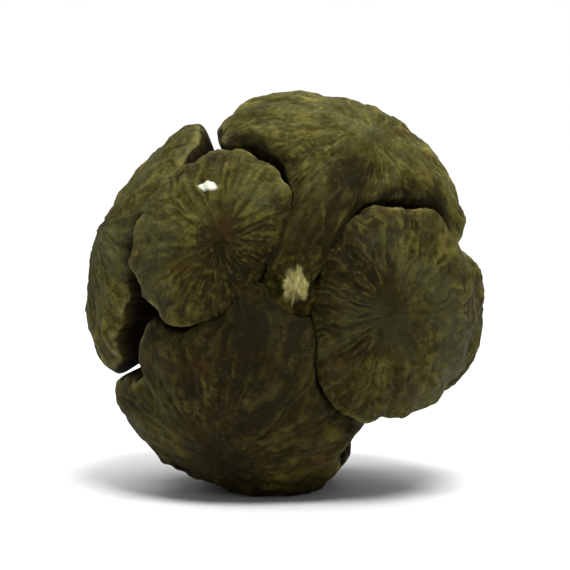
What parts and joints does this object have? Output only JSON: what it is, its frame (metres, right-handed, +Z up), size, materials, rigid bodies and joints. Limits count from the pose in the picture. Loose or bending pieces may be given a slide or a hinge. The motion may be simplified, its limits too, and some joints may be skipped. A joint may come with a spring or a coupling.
{
  "type": "cypress cone",
  "caption": "Ripe, woody cypress cone lying on its side: thick shield-shaped scales in crossed pairs, cracked apart from each other, round a short stub of stalk.",
  "frame": {"origin": "middle of the cone's box seen from above, on the level plane of its two flat rest spots", "axes": "+Z up; +Y from the stalk end to the tip end; +X to the right when looking at the stalk end"},
  "size_m": [0.0326, 0.0344, 0.0325],
  "materials": {
    "cone_wood": "rough, matt, weathered olive brown"
  },
  "bodies": {
    "root": {"cone": "cone_wood"}
  },
  "joints": []
}
